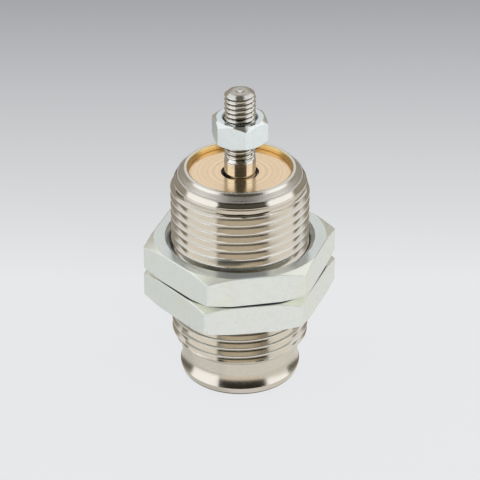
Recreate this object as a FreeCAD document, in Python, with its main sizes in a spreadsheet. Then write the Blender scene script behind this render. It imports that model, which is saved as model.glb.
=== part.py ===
import FreeCAD, Part
import math
import os
import Sketcher

# Single-acting cartridge cylinder. Millimetres, +Z along the rod, origin at the centre of the rear face.
# The rod is drawn fully retracted, as the spring leaves it.

doc = FreeCAD.newDocument("CartridgeCylinder")
sheet = doc.addObject("Spreadsheet::Sheet", "Sizes")

# Driving dimensions: alias, value, what it measures
SIZES = [
    ("barrel_length", "36.8", "rear face to the top of the rolled rim"),
    ("body_thread", "22", "major diameter of the barrel's thread"),
    ("neck_diameter", "19", "plain neck behind the thread"),
    ("neck_top", "5.7", "height where the thread's lower chamfer starts"),
    ("lip_diameter", "19.45", "flared lip at the rear face"),
    ("lip_height", "1.33", "height of the lip's band"),
    ("lip_draw_in", "0.25", "how far the lip's band tapers in at the rear face"),
    ("lip_taper", "0.6", "height of that taper"),
    ("flare_height", "2.33", "height of the flare from neck to lip"),
    ("collar_height", "1.3", "rolled collar above the thread's upper chamfer"),
    ("top_chamfer_length", "1.5", "length of the thread's upper chamfer along the axis"),
    ("top_chamfer_depth", "1", "depth of that chamfer along the radius"),
    ("collar_step", "0.2", "step from the chamfer in to the rolled collar"),
    ("rim_outside", "18.2", "outside diameter of the rolled rim at its crown"),
    ("rim_inside", "16.2", "inside diameter of the rolled rim"),
    ("rim_crown", "0.25", "broken edges of the rim's crown"),
    ("bore", "16", "cylinder bore"),
    ("rear_wall", "5.5", "thickness of the rear end"),
    ("port_bore", "4.2", "tapping bore of the rear air port"),
    ("port_chamfer", "0.5", "chamfer at the port's mouth"),
    ("cap_recess", "0.9", "depth of the cap's face below the rim"),
    ("cap_thickness", "2.5", "thickness of the cap's disc"),
    ("cap_seat_bore", "17", "counterbore that holds the cap's disc"),
    ("cap_clearance", "0.03", "radial clearance of the cap in its counterbore"),
    ("boss_diameter", "9.4", "boss under the cap, inside the spring"),
    ("rod_opening", "5.8", "opening of the cap around the rod"),
    ("opening_chamfer", "0.2", "chamfer at that opening"),
    ("bush_diameter", "7", "outside of the guide bush"),
    ("bush_cover", "2", "thickness of the cap over the guide bush"),
    ("bush_clearance", "0.02", "radial clearance of the bush in the boss"),
    ("guide_clearance", "0.04", "radial clearance of the rod in its bush"),
    ("front_bumper_thickness", "0.9", "rubber ring under the boss"),
    ("front_bumper_gap", "0.4", "radial gap between that ring and the rod"),
    ("front_bumper_inset", "0.1", "how far the ring stays inside the boss"),
    ("rear_bumper_thickness", "0.8", "rubber ring on the rear wall"),
    ("rear_bumper_outside", "13", "outside of the rear ring"),
    ("rear_bumper_inside", "7", "inside of the rear ring, round the rivet head"),
    ("stop_gap", "0.1", "gap left between piston and bumper at each end"),
    ("stroke", "10", "travel of the rod"),
    ("washer_thickness", "1", "washer that backs the cup"),
    ("washer_diameter", "12", "outside of that washer"),
    ("cup_web", "1.2", "thickness of the cup where it is clamped"),
    ("cup_lip_length", "2", "length of the cup's lip along the bore"),
    ("cup_lip_thickness", "0.8", "thickness of the cup's lip"),
    ("cup_clearance", "0.03", "radial clearance of the lip in the bore"),
    ("piston_length", "4", "guiding length of the piston"),
    ("piston_clearance", "0.05", "radial clearance of the piston in the bore"),
    ("hub_diameter", "8", "hub that centres the spring"),
    ("hub_length", "4", "height of the hub above the piston"),
    ("rod_diameter", "5", "ground rod"),
    ("rod_thread", "4.9", "major diameter of the rod's thread as made"),
    ("rod_reach", "13.2", "rod's tip above the rim when retracted"),
    ("rod_thread_length", "11.5", "threaded length at the rod's tip"),
    ("tip_chamfer_length", "0.4", "length of the chamfer at the rod's tip along the axis"),
    ("tip_chamfer_depth", "0.85", "depth of that chamfer along the radius"),
    ("centre_diameter", "1.4", "centre-drill mark in the rod's tip"),
    ("centre_depth", "0.4", "depth of that mark"),
    ("socket_depth", "6", "how deep the rod sits in the hub"),
    ("spigot_diameter", "3.4", "turned-down end of the rod"),
    ("rivet_diameter", "5.2", "riveted head under the washer"),
    ("rivet_height", "0.6", "height of the riveted head"),
    ("rivet_chamfer", "0.25", "worked edge of the riveted head"),
    ("joint_clearance", "0.02", "radial clearance of piston, cup and washer on the rod"),
    ("spring_wire", "0.9", "wire of the return spring"),
    ("spring_mean", "11", "mean coil diameter"),
    ("spring_closed_turns", "1", "closed turns at each end"),
    ("spring_active_turns", "4", "working turns"),
    ("spring_closed_gap", "0.05", "gap between a closed turn and the next"),
    ("spring_seat_gap", "0.05", "gap between the spring and each seat"),
    ("lock_nut_flats", "27", "lock nut across flats"),
    ("lock_nut_height", "5", "lock nut height"),
    ("lock_nut_face", "27.6", "circle where the lock nut's chamfer starts"),
    ("lock_nut_slope", "20", "angle of that chamfer, degrees"),
    ("lock_nut_mouth", "24", "mouth of the lock nut's countersink"),
    ("nut_thread_clearance", "0.05", "radial clearance of a nut on its thread"),
    ("lower_nut_base", "14.2", "height of the lower lock nut's underside"),
    ("lock_nut_gap", "0.25", "gap between the two lock nuts"),
    ("lower_nut_turn", "8.97", "turn of the lower lock nut, degrees"),
    ("upper_nut_turn", "10.93", "turn of the upper lock nut, degrees"),
    ("rod_nut_flats", "8", "rod nut across flats"),
    ("rod_nut_height", "4", "rod nut height"),
    ("rod_nut_face", "7.4", "circle where the rod nut's chamfer starts"),
    ("rod_nut_slope", "30", "angle of that chamfer, degrees"),
    ("rod_nut_mouth", "5.7", "mouth of the rod nut's countersink"),
    ("rod_nut_lift", "4.75", "height of the rod nut's underside above the rim"),
    ("rod_nut_turn", "-18.3", "turn of the rod nut, degrees"),
]
for row, (alias, value, meaning) in enumerate(SIZES, 1):
    sheet.set(f"A{row}", meaning)
    sheet.set(f"B{row}", value)
    sheet.setAlias(f"B{row}", alias)
doc.recompute()


def size(alias):
    """The expression for one cell of the sheet."""
    return f"Sizes.{alias}"


def half(alias):
    """The radius that belongs to a diameter of the sheet."""
    return f"Sizes.{alias} / 2"


# Levels along the axis, each an expression of the sheet
CAP_FACE = "(Sizes.barrel_length - Sizes.cap_recess)"
CAP_SEAT = f"({CAP_FACE} - Sizes.cap_thickness)"
REAR_BUMPER_TOP = "(Sizes.rear_wall + Sizes.rear_bumper_thickness)"
WASHER_BASE = f"({REAR_BUMPER_TOP} + Sizes.stop_gap)"
CUP_BASE = f"({WASHER_BASE} + Sizes.washer_thickness)"
PISTON_BASE = f"({CUP_BASE} + Sizes.cup_web)"
PISTON_TOP = f"({PISTON_BASE} + Sizes.piston_length)"
HUB_TOP = f"({PISTON_TOP} + Sizes.hub_length)"
ROD_SHOULDER = f"({HUB_TOP} - Sizes.socket_depth)"
FRONT_BUMPER_BASE = f"({HUB_TOP} + Sizes.stroke + Sizes.stop_gap)"
BOSS_END = f"({FRONT_BUMPER_BASE} + Sizes.front_bumper_thickness)"
BUSH_TOP = f"({CAP_FACE} - Sizes.bush_cover)"
ROD_TIP = "(Sizes.barrel_length + Sizes.rod_reach)"
ROD_THREAD_START = f"({ROD_TIP} - Sizes.rod_thread_length)"
UPPER_NUT_BASE = "(Sizes.lower_nut_base + Sizes.lock_nut_height + Sizes.lock_nut_gap)"
ROD_NUT_BASE = "(Sizes.barrel_length + Sizes.rod_nut_lift)"


def new_body(label):
    body = doc.addObject("PartDesign::Body", label)
    body.Label = label
    return body


def new_sketch(body, name, role):
    """An empty sketch on one of the body's own origin planes."""
    sketch = body.newObject("Sketcher::SketchObject", f"{body.Label}_{name}")
    plane = next(item for item in body.Origin.OriginFeatures if item.Role == role)
    sketch.AttachmentSupport = [(plane, "")]
    sketch.MapMode = "FlatFace"
    return sketch


def bind(sketch, constraint, name, expression):
    """Add one constraint and tie its value to the sheet."""
    index = sketch.addConstraint(constraint)
    sketch.renameConstraint(index, name)
    sketch.setExpression(f"Constraints.{name}", expression)


def outline(sketch, tag, corners):
    """A closed outline whose corners are (across, up) expressions, each held by its two distances."""
    points = []
    for corner in corners:
        across, up = (float(sketch.evalExpression(text)) for text in corner)
        points.append(FreeCAD.Vector(across, up, 0))
    edges = []
    for start, end in zip(points, points[1:] + points[:1]):
        edges.append(sketch.addGeometry(Part.LineSegment(start, end), False))
    for index, (across, up) in enumerate(corners):
        edge = edges[index]
        sketch.addConstraint(Sketcher.Constraint("Coincident", edges[index - 1], 2, edge, 1))
        if across == "0":
            sketch.addConstraint(Sketcher.Constraint("PointOnObject", edge, 1, -2))
        else:
            place = Sketcher.Constraint("DistanceX", -1, 1, edge, 1, points[index].x)
            bind(sketch, place, f"{tag}_across_{index}", across)
        if up == "0":
            sketch.addConstraint(Sketcher.Constraint("PointOnObject", edge, 1, -1))
        else:
            place = Sketcher.Constraint("DistanceY", -1, 1, edge, 1, points[index].y)
            bind(sketch, place, f"{tag}_up_{index}", up)


def turned(label, corners):
    """A piece turned on the lathe: an outline in the XZ plane, revolved about Z."""
    body = new_body(label)
    sketch = new_sketch(body, "profile", "XZ_Plane")
    outline(sketch, "edge", corners)
    revolve = body.newObject("PartDesign::Revolution", f"{label}_turned")
    revolve.Profile = sketch
    revolve.ReferenceAxis = (sketch, ["V_Axis"])
    revolve.Angle = 360
    return body


def groove(body, name, outlines):
    """Cut one or more revolved outlines out of a body."""
    sketch = new_sketch(body, f"{name}_profile", "XZ_Plane")
    for tag, corners in outlines.items():
        outline(sketch, tag, corners)
    cut = body.newObject("PartDesign::Groove", f"{body.Label}_{name}")
    cut.Profile = sketch
    cut.ReferenceAxis = (sketch, ["V_Axis"])
    cut.Angle = 360
    return cut


def hexagon(sketch, corner_diameter):
    """A hexagon held by its corner circle, with one corner on the sketch's X axis."""
    origin = FreeCAD.Vector(0, 0, 0)
    radius = float(sketch.evalExpression(corner_diameter)) / 2
    circle = sketch.addGeometry(Part.Circle(origin, FreeCAD.Vector(0, 0, 1), radius), True)
    sketch.addConstraint(Sketcher.Constraint("Coincident", circle, 3, -1, 1))
    bind(sketch, Sketcher.Constraint("Diameter", circle, 2 * radius), "corner_circle", corner_diameter)
    corners = []
    for k in range(6):
        angle = k * math.pi / 3
        corners.append(FreeCAD.Vector(math.cos(angle), math.sin(angle), 0) * radius)
    sides = []
    for start, end in zip(corners, corners[1:] + corners[:1]):
        sides.append(sketch.addGeometry(Part.LineSegment(start, end), False))
    for k, side in enumerate(sides):
        sketch.addConstraint(Sketcher.Constraint("Coincident", side, 2, sides[(k + 1) % 6], 1))
        sketch.addConstraint(Sketcher.Constraint("PointOnObject", side, 1, circle))
        if k:
            sketch.addConstraint(Sketcher.Constraint("Equal", sides[0], side))
    sketch.addConstraint(Sketcher.Constraint("PointOnObject", sides[0], 1, -1))


def hex_nut(label, kind, thread, base, turn):
    """A hexagon nut, chamfered on both faces, with a countersunk bore that clears its thread."""
    flats, tall = size(f"{kind}_flats"), size(f"{kind}_height")
    face, mouth = half(f"{kind}_face"), half(f"{kind}_mouth")
    slope = size(f"{kind}_slope")
    corner = f"{flats} / sqrt(3)"
    past = f"{flats}"
    drop = f"({past} - {face}) * tan({slope})"
    bore = f"({half(thread)} + Sizes.nut_thread_clearance)"
    sink = f"({mouth} - {bore})"

    body = new_body(label)
    blank = new_sketch(body, "hexagon", "XY_Plane")
    hexagon(blank, f"2 * {corner}")
    pad = body.newObject("PartDesign::Pad", f"{label}_blank")
    pad.Profile = blank
    pad.setExpression("Length", tall)
    groove(body, "chamfers", {
        "lower": [(face, "0"), (past, "0"), (past, drop)],
        "upper": [(face, tall), (past, f"{tall} - {drop}"), (past, tall)],
    })
    groove(body, "bore", {
        "hole": [
            ("0", "0"),
            (mouth, "0"),
            (bore, sink),
            (bore, f"{tall} - {sink}"),
            (mouth, tall),
            ("0", tall),
        ],
    })
    body.setExpression("Placement.Base.z", base)
    body.setExpression("Placement.Rotation.Angle", turn)
    return body


# Barrel: rear end with the air port, flared lip, neck, threaded length and the rim rolled over the cap
NECK = half("neck_diameter")
LIP = half("lip_diameter")
THREAD = half("body_thread")
FLARE_TOP = "(Sizes.lip_height + Sizes.flare_height)"
CHAMFER_END = "(Sizes.barrel_length - Sizes.collar_height)"
CHAMFER_RADIUS = f"({THREAD} - Sizes.top_chamfer_depth)"
RIM_EDGE = "(Sizes.barrel_length - Sizes.rim_crown)"
turned("cartridge_barrel", [
    (f"{half('port_bore')} + Sizes.port_chamfer", "0"),
    (f"{LIP} - Sizes.lip_draw_in", "0"),
    (LIP, size("lip_taper")),
    (LIP, size("lip_height")),
    (NECK, FLARE_TOP),
    (NECK, size("neck_top")),
    (THREAD, f"Sizes.neck_top + {THREAD} - {NECK}"),
    (THREAD, f"{CHAMFER_END} - Sizes.top_chamfer_length"),
    (CHAMFER_RADIUS, CHAMFER_END),
    (f"{CHAMFER_RADIUS} - Sizes.collar_step", CHAMFER_END),
    (half("rim_outside"), RIM_EDGE),
    (f"{half('rim_outside')} - Sizes.rim_crown", size("barrel_length")),
    (f"{half('rim_inside')} + Sizes.rim_crown", size("barrel_length")),
    (half("rim_inside"), RIM_EDGE),
    (half("rim_inside"), CAP_FACE),
    (half("cap_seat_bore"), CAP_FACE),
    (half("cap_seat_bore"), CAP_SEAT),
    (half("bore"), CAP_SEAT),
    (half("bore"), size("rear_wall")),
    (half("port_bore"), size("rear_wall")),
    (half("port_bore"), size("port_chamfer")),
])

# Cap: a disc under the rim, with a boss that carries the bush and centres the spring
turned("front_cap", [
    (half("bush_diameter"), BOSS_END),
    (half("boss_diameter"), BOSS_END),
    (half("boss_diameter"), CAP_SEAT),
    (f"{half('cap_seat_bore')} - Sizes.cap_clearance", CAP_SEAT),
    (f"{half('cap_seat_bore')} - Sizes.cap_clearance", CAP_FACE),
    (f"{half('rod_opening')} + Sizes.opening_chamfer", CAP_FACE),
    (half("rod_opening"), f"{CAP_FACE} - Sizes.opening_chamfer"),
    (half("rod_opening"), BUSH_TOP),
    (half("bush_diameter"), BUSH_TOP),
])


def ring(label, inside, outside, low, high):
    """A plain turned ring."""
    turned(label, [(inside, low), (outside, low), (outside, high), (inside, high)])


# Guide bush in the boss
ring(
    "rod_guide_bush",
    f"{half('rod_diameter')} + Sizes.guide_clearance",
    f"{half('bush_diameter')} - Sizes.bush_clearance",
    BOSS_END,
    BUSH_TOP,
)

# Rubber rings at the two ends of the stroke
ring(
    "front_bumper",
    f"{half('rod_diameter')} + Sizes.front_bumper_gap",
    f"{half('boss_diameter')} - Sizes.front_bumper_inset",
    FRONT_BUMPER_BASE,
    BOSS_END,
)
ring(
    "rear_bumper",
    half("rear_bumper_inside"),
    half("rear_bumper_outside"),
    size("rear_wall"),
    REAR_BUMPER_TOP,
)

# Piston on the rod's shoulder, the cup behind it and the washer that backs the cup
SPIGOT_HOLE = f"({half('spigot_diameter')} + Sizes.joint_clearance)"
SOCKET = f"({half('rod_diameter')} + Sizes.joint_clearance)"
PISTON = f"({half('bore')} - Sizes.piston_clearance)"
turned("piston_head", [
    (SPIGOT_HOLE, PISTON_BASE),
    (PISTON, PISTON_BASE),
    (PISTON, PISTON_TOP),
    (half("hub_diameter"), PISTON_TOP),
    (half("hub_diameter"), HUB_TOP),
    (SOCKET, HUB_TOP),
    (SOCKET, ROD_SHOULDER),
    (SPIGOT_HOLE, ROD_SHOULDER),
])
CUP = f"({half('bore')} - Sizes.cup_clearance)"
CUP_LIP_END = f"({PISTON_BASE} - Sizes.cup_lip_length)"
turned("piston_cup_seal", [
    (SPIGOT_HOLE, CUP_BASE),
    (f"{CUP} - Sizes.cup_lip_thickness", CUP_BASE),
    (f"{CUP} - Sizes.cup_lip_thickness", CUP_LIP_END),
    (CUP, CUP_LIP_END),
    (CUP, PISTON_BASE),
    (SPIGOT_HOLE, PISTON_BASE),
])
ring("cup_backing_washer", SPIGOT_HOLE, half("washer_diameter"), WASHER_BASE, CUP_BASE)

# Rod: riveted spigot, shoulder, ground length, threaded end with a chamfer and a centre mark
RIVET_BASE = f"({WASHER_BASE} - Sizes.rivet_height)"
turned("piston_rod", [
    ("0", RIVET_BASE),
    (f"{half('rivet_diameter')} - Sizes.rivet_chamfer", RIVET_BASE),
    (half("rivet_diameter"), f"{RIVET_BASE} + Sizes.rivet_chamfer"),
    (half("rivet_diameter"), WASHER_BASE),
    (half("spigot_diameter"), WASHER_BASE),
    (half("spigot_diameter"), ROD_SHOULDER),
    (half("rod_diameter"), ROD_SHOULDER),
    (half("rod_diameter"), ROD_THREAD_START),
    (half("rod_thread"), ROD_THREAD_START),
    (half("rod_thread"), f"{ROD_TIP} - Sizes.tip_chamfer_length"),
    (f"{half('rod_thread')} - Sizes.tip_chamfer_depth", ROD_TIP),
    (half("centre_diameter"), ROD_TIP),
    ("0", f"{ROD_TIP} - Sizes.centre_depth"),
])

# Nuts
hex_nut("lower_lock_nut", "lock_nut", "body_thread", size("lower_nut_base"), size("lower_nut_turn"))
hex_nut("upper_lock_nut", "lock_nut", "body_thread", UPPER_NUT_BASE, size("upper_nut_turn"))
hex_nut("rod_nut", "rod_nut", "rod_thread", ROD_NUT_BASE, size("rod_nut_turn"))

# Return spring: closed and ground ends, lofted from wire sections along the coil.
# The wire has six sides with the round wire's area.
WIRE_SIDES = 6
SECTIONS_PER_TURN = 18


def coil(wire, mean, length, closed, active, gap):
    """The spring's solid, standing on z = 0, ground flat at both ends."""
    closed_rise = wire + gap
    active_rise = (length - 2 * closed * closed_rise) / active
    turns = 2 * closed + active
    corner = wire / 2 * math.sqrt(2 * math.pi / (WIRE_SIDES * math.sin(2 * math.pi / WIRE_SIDES)))

    def height(turn):
        if turn < closed:
            return closed_rise * turn
        if turn > closed + active:
            return length - closed_rise * (turns - turn)
        return closed_rise * closed + active_rise * (turn - closed)

    sections = []
    count = round(turns * SECTIONS_PER_TURN)
    for step in range(count + 1):
        turn = turns * step / count
        outward = FreeCAD.Vector(math.cos(2 * math.pi * turn), math.sin(2 * math.pi * turn), 0)
        centre = outward * (mean / 2) + FreeCAD.Vector(0, 0, height(turn))
        points = []
        for side in range(WIRE_SIDES):
            angle = 2 * math.pi * (side + 0.5) / WIRE_SIDES
            upward = FreeCAD.Vector(0, 0, corner * math.sin(angle))
            points.append(centre + outward * (corner * math.cos(angle)) + upward)
        sections.append(Part.makePolygon(points + points[:1]))
    wound = Part.makeLoft(sections, True, True)
    reach = mean + 2 * wire
    ground = Part.makeBox(reach, reach, length, FreeCAD.Vector(-reach / 2, -reach / 2, 0))
    return wound.common(ground).Solids[0]


spring = doc.addObject("Part::Feature", "return_spring")
spring.Label = "return_spring"
spring_base = float(spring.evalExpression(f"{PISTON_TOP} + Sizes.spring_seat_gap"))
spring_top = float(spring.evalExpression(f"{CAP_SEAT} - Sizes.spring_seat_gap"))
spring.Shape = coil(
    sheet.spring_wire,
    sheet.spring_mean,
    spring_top - spring_base,
    sheet.spring_closed_turns,
    sheet.spring_active_turns,
    sheet.spring_closed_gap,
)
spring.Placement = FreeCAD.Placement(FreeCAD.Vector(0, 0, spring_base), FreeCAD.Rotation())
doc.recompute()

# Checks, then one file for each piece
for item in doc.Objects:
    if "Invalid" in item.State or "Error" in item.State:
        raise RuntimeError(f"{item.Name} is {item.State}")
pieces = [item for item in doc.Objects if item.TypeId == "PartDesign::Body" or item is spring]
os.makedirs("parts", exist_ok=True)
for piece in pieces:
    shape = piece.Shape
    if shape.isNull() or not shape.isValid() or len(shape.Solids) != 1:
        raise RuntimeError(f"{piece.Label} isn't one valid solid")
    box = shape.optimalBoundingBox()
    print(f"{piece.Label}: {shape.Volume:.2f} mm3, z {box.ZMin:.2f} to {box.ZMax:.2f}")
for piece in pieces:
    piece.Shape.exportStep(f"parts/{piece.Label}.step")
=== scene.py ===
# %% [markdown]
# This lesson dresses a cartridge pneumatic cylinder. The real part is a brass barrel that is threaded
# over nearly its whole length and nickel plated, with a piston rod, two hexagon lock nuts and a rod
# nut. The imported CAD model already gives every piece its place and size, with plain cylinders for
# threads. This script adds what CAD leaves out: helical threads, worn edges, metal finishes, a studio
# and a camera.

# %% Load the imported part
import math

import bmesh
import bpy
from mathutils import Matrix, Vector


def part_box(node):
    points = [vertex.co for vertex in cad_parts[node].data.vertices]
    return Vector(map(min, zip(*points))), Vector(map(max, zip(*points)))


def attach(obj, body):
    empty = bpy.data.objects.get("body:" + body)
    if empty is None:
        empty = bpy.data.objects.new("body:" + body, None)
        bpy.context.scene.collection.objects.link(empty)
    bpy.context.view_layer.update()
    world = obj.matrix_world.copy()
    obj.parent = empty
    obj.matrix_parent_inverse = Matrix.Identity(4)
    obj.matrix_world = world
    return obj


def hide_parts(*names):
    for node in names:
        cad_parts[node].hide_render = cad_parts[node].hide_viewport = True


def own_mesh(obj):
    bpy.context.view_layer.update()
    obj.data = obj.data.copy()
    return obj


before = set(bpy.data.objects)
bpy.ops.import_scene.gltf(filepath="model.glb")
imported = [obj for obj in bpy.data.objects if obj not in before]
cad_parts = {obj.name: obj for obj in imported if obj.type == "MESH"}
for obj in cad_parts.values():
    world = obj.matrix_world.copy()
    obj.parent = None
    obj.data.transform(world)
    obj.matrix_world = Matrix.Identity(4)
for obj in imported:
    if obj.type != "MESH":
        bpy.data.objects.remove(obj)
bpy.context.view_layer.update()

MM = 0.001

# %% [markdown]
# The camera comes first, because every later step is judged through it. The photograph looks down on
# the part from the front with a long lens, so verticals converge only a little. Eye, pitch and lens
# below were found by fitting a pinhole camera to the outlines of the nuts and the rim, whose real sizes
# are standard.

# %% Camera at the photograph's angle
EYE = Vector((0, -310.9, 205.3)) * MM
PITCH_DOWN = math.radians(30.33)
LENS_MM = 169.07
SENSOR_MM = 36

camera_data = bpy.data.cameras.new("photo_camera")
camera_data.lens = LENS_MM
camera_data.sensor_width = SENSOR_MM
camera = bpy.data.objects.new("photo_camera", camera_data)
camera.location = EYE
camera.rotation_euler = (math.pi / 2 - PITCH_DOWN, 0, 0)
bpy.context.scene.collection.objects.link(camera)
bpy.context.scene.camera = camera
bpy.context.scene.view_settings.view_transform = "Standard"


# %% [markdown]
# Every finish, the studio and the threads are node trees, so a few small helpers pay off at once. One
# plugs a socket or a plain value into an input, and one adds a node with all its inputs plugged. The
# other two add what comes up most: a sum, and the three parts of a vector.

# %% Helpers for node trees
def plug(tree, value, socket):
    """Link a socket to an input, or set a plain value on that input."""
    if isinstance(value, bpy.types.NodeSocket):
        tree.links.new(value, socket)
    else:
        socket.default_value = value


def add_node(tree, kind, inputs=(), **settings):
    """A new node with its settings made and its inputs plugged, by name or by place."""
    node = tree.nodes.new(kind)
    for name, setting in settings.items():
        setattr(node, name, setting)
    for key, value in dict(inputs).items():
        plug(tree, value, node.inputs[key])
    return node


def calc(tree, operation, *values):
    """One Math node, with sockets or numbers as its inputs."""
    return add_node(tree, "ShaderNodeMath", enumerate(values), operation=operation).outputs[0]


def split(tree, vector):
    """The X, Y and Z of a vector."""
    return add_node(tree, "ShaderNodeSeparateXYZ", {0: vector}).outputs


# %% [markdown]
# Polished metal has no look of its own: it shows the studio. The photograph's reflections tell that two
# tall soft boxes stood left and right and leaned in overhead, that the gap between them, where the
# camera is, was dark, and that the table and the wall behind the part were pale. Painting that room on
# the world, by direction, gives the metal all of it with no lamp to place, and it lights the part
# evenly from both sides.

# %% The studio as a world
def angles(*degrees):
    """Angles in degrees as radians."""
    return [math.radians(angle) for angle in degrees]


DARK_FRONT = (0.03, 0.027, 0.02, 1)
DIM_CEILING = (0.13, 0.12, 0.10, 1)
DARK_CORNER = (0.15, 0.135, 0.11, 1)
DIM_SIDE = (0.36, 0.33, 0.28, 1)
PALE_BACK = (0.86, 0.86, 0.86, 1)
SOFT_BOX = (1.24, 1.24, 1.24, 1)
BOX_TOP = (0.76, 0.75, 0.73, 1)
OVERHEAD = (1.10, 1.10, 1.10, 1)
LEFT_BOX_EDGE = math.tan(math.radians(40))
RIGHT_BOX_EDGE = math.tan(math.radians(49))
OVERHEAD_EDGE = math.tan(math.radians(13))
BOX_BACK_EDGE = math.tan(math.radians(10))
BOX_BLUR = 0.045
RIGHT_BLUR = 0.05
BOX_SHOULDER = angles(42, 50)
OVERHEAD_START = angles(62, 72)
CORNER_END = angles(-20, -15)
SIDE_END = angles(26, 35)
BEHIND_FADE = (-0.06, 0.10)

world = bpy.data.worlds.new("studio")
bpy.context.scene.world = world
world.use_nodes = True
room = world.node_tree
room.nodes.clear()
to_right, to_back, to_top = split(room, add_node(room, "ShaderNodeTexCoord").outputs["Generated"])
to_front = calc(room, "MULTIPLY", to_back, -1.0)
aside = calc(room, "ABSOLUTE", to_right)
on_right = calc(room, "GREATER_THAN", to_right, 0.0)
on_left = calc(room, "SUBTRACT", 1.0, on_right)
elevation = calc(room, "ARCSINE", to_top)
print("World turned into directions with", len(room.nodes), "nodes")


# %% [markdown]
# A painted room needs soft edges, because a real box or wall hardly ever ends on a line. A smooth step
# gives a share from 0 to 1, and that share mixes two colours. Along a path with many changes, one ramp
# is shorter than a chain of mixes.

# %% Helpers for soft edges and colours
def ease(tree, value, start, end, low=0.0, high=1.0):
    """A smooth step from low to high while the value goes from start to end."""
    inputs = enumerate((value, start, end, low, high))
    return add_node(tree, "ShaderNodeMapRange", inputs, interpolation_type="SMOOTHSTEP").outputs[0]


def blend_colour(tree, share, first, second):
    """A colour between two others."""
    inputs = {0: share, 6: first, 7: second}
    return add_node(tree, "ShaderNodeMix", inputs, data_type="RGBA").outputs[2]


def ramp(tree, share, stops):
    """A colour ramp with (place, colour) stops."""
    node = add_node(tree, "ShaderNodeValToRGB", {0: share})
    elements = node.color_ramp.elements
    while len(elements) < len(stops):
        elements.new(0.5)
    for element, (place, colour) in zip(elements, stops):
        element.position = place
        element.color = colour
    return node.outputs[0]


# %% [markdown]
# The strip between the boxes runs from the back's floor line over the front and the zenith to the back
# again, so one ramp along that turn paints it. The boxes are brightest low down and end at about
# shoulder height, with a dimmer ceiling above them and a bright one straight overhead. Behind them the
# room is dim near the table.

# %% Dark strip, boxes and ceiling
turn_over = calc(room, "ARCTAN2", to_top, to_front)
over_head = calc(room, "DIVIDE", calc(room, "ADD", turn_over, math.pi), 2 * math.pi)
centre_strip = ramp(room, over_head, [
    (0.0, PALE_BACK),
    (0.05, DARK_FRONT),
    (0.56, DARK_FRONT),
    (0.62, DIM_CEILING),
    (0.79, DIM_CEILING),
    (0.88, PALE_BACK),
])
front_edge = ease(room, on_right, 0.0, 1.0, LEFT_BOX_EDGE, RIGHT_BOX_EDGE)
front_part = calc(room, "MULTIPLY", calc(room, "MAXIMUM", to_front, 0.0), front_edge)
top_part = calc(room, "MULTIPLY", calc(room, "MAXIMUM", to_top, 0.0), OVERHEAD_EDGE)
into_box = calc(room, "SUBTRACT", aside, calc(room, "MAXIMUM", front_part, top_part))
box_blur = calc(room, "MULTIPLY_ADD", on_right, RIGHT_BLUR, BOX_BLUR)
in_box = ease(room, into_box, calc(room, "MULTIPLY", box_blur, -1.0), box_blur)
over_box = ease(room, elevation, *BOX_SHOULDER)
above_all = ease(room, elevation, *OVERHEAD_START)
box = blend_colour(room, above_all, blend_colour(room, over_box, SOFT_BOX, BOX_TOP), OVERHEAD)
low_side = blend_colour(room, ease(room, elevation, *CORNER_END), DARK_CORNER, DIM_SIDE)
back_side = blend_colour(room, ease(room, elevation, *SIDE_END), low_side, PALE_BACK)
past_box = calc(room, "SUBTRACT", to_back, calc(room, "MULTIPLY", aside, BOX_BACK_EDGE))
behind = ease(room, past_box, *BEHIND_FADE)
lit = blend_colour(room, in_box, centre_strip, blend_colour(room, behind, box, back_side))
print("Boxes and ceiling bring that to", len(room.nodes))


# %% [markdown]
# Below them lies the pale table, a little warm and dim in front of the part. The left box comes down to
# a hard edge just above it, which is what cuts the bright wedges into the thread. The right one ends
# higher and softly. The camera itself sees a plain pale backdrop.

# %% Table and backdrop
def rgb(red, green, blue):
    """A screen colour from 0 to 255 as the linear colour that Blender works with."""
    levels = [value / 255 for value in (red, green, blue)]
    return (*[v / 12.92 if v <= 0.04045 else ((v + 0.055) / 1.055) ** 2.4 for v in levels], 1.0)


NEAR_TABLE = (0.77, 0.75, 0.73, 1)
WARM_TABLE = (0.84, 0.75, 0.62, 1)
LEFT_TABLE = (0.63, 0.61, 0.565, 1)
RIGHT_TABLE = (0.76, 0.735, 0.68, 1)
BACKDROP = rgb(226, 227, 229)
FRONT_TABLE_EDGE = math.radians(-20)
LEFT_TABLE_EDGE = math.radians(-28)
RIGHT_TABLE_EDGE = math.radians(-18)
BACK_TABLE_EDGE = math.radians(-27)
HARD_EDGE = 0.02
SOFT_EDGE = 0.025
BOX_FADE = (-0.4, 0.0)
TABLE_FADE = (-0.3, 0.1)
WARM_START = angles(-33, -27)

left_edge = calc(room, "MULTIPLY", on_left, in_box)
ahead = calc(room, "SUBTRACT", 1.0, behind)
near_box = calc(room, "MULTIPLY", ease(room, into_box, *BOX_FADE), ahead)
right_edge = calc(room, "MULTIPLY", on_right, near_box)
lowered = calc(room, "MULTIPLY_ADD", left_edge, LEFT_TABLE_EDGE - FRONT_TABLE_EDGE, FRONT_TABLE_EDGE)
raised = calc(room, "MULTIPLY_ADD", right_edge, RIGHT_TABLE_EDGE - FRONT_TABLE_EDGE, lowered)
right_back = calc(room, "MULTIPLY", on_right, behind)
table_edge = calc(room, "MULTIPLY_ADD", right_back, BACK_TABLE_EDGE - FRONT_TABLE_EDGE, raised)
left_soft = calc(room, "MULTIPLY_ADD", left_edge, HARD_EDGE - SOFT_EDGE, SOFT_EDGE)
softness = calc(room, "MULTIPLY_ADD", right_edge, RIGHT_BLUR, left_soft)
over_table = calc(room, "DIVIDE", calc(room, "SUBTRACT", elevation, table_edge), softness)
front_table = blend_colour(room, ease(room, elevation, *WARM_START), NEAR_TABLE, WARM_TABLE)
side_table = blend_colour(room, on_right, LEFT_TABLE, RIGHT_TABLE)
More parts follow.
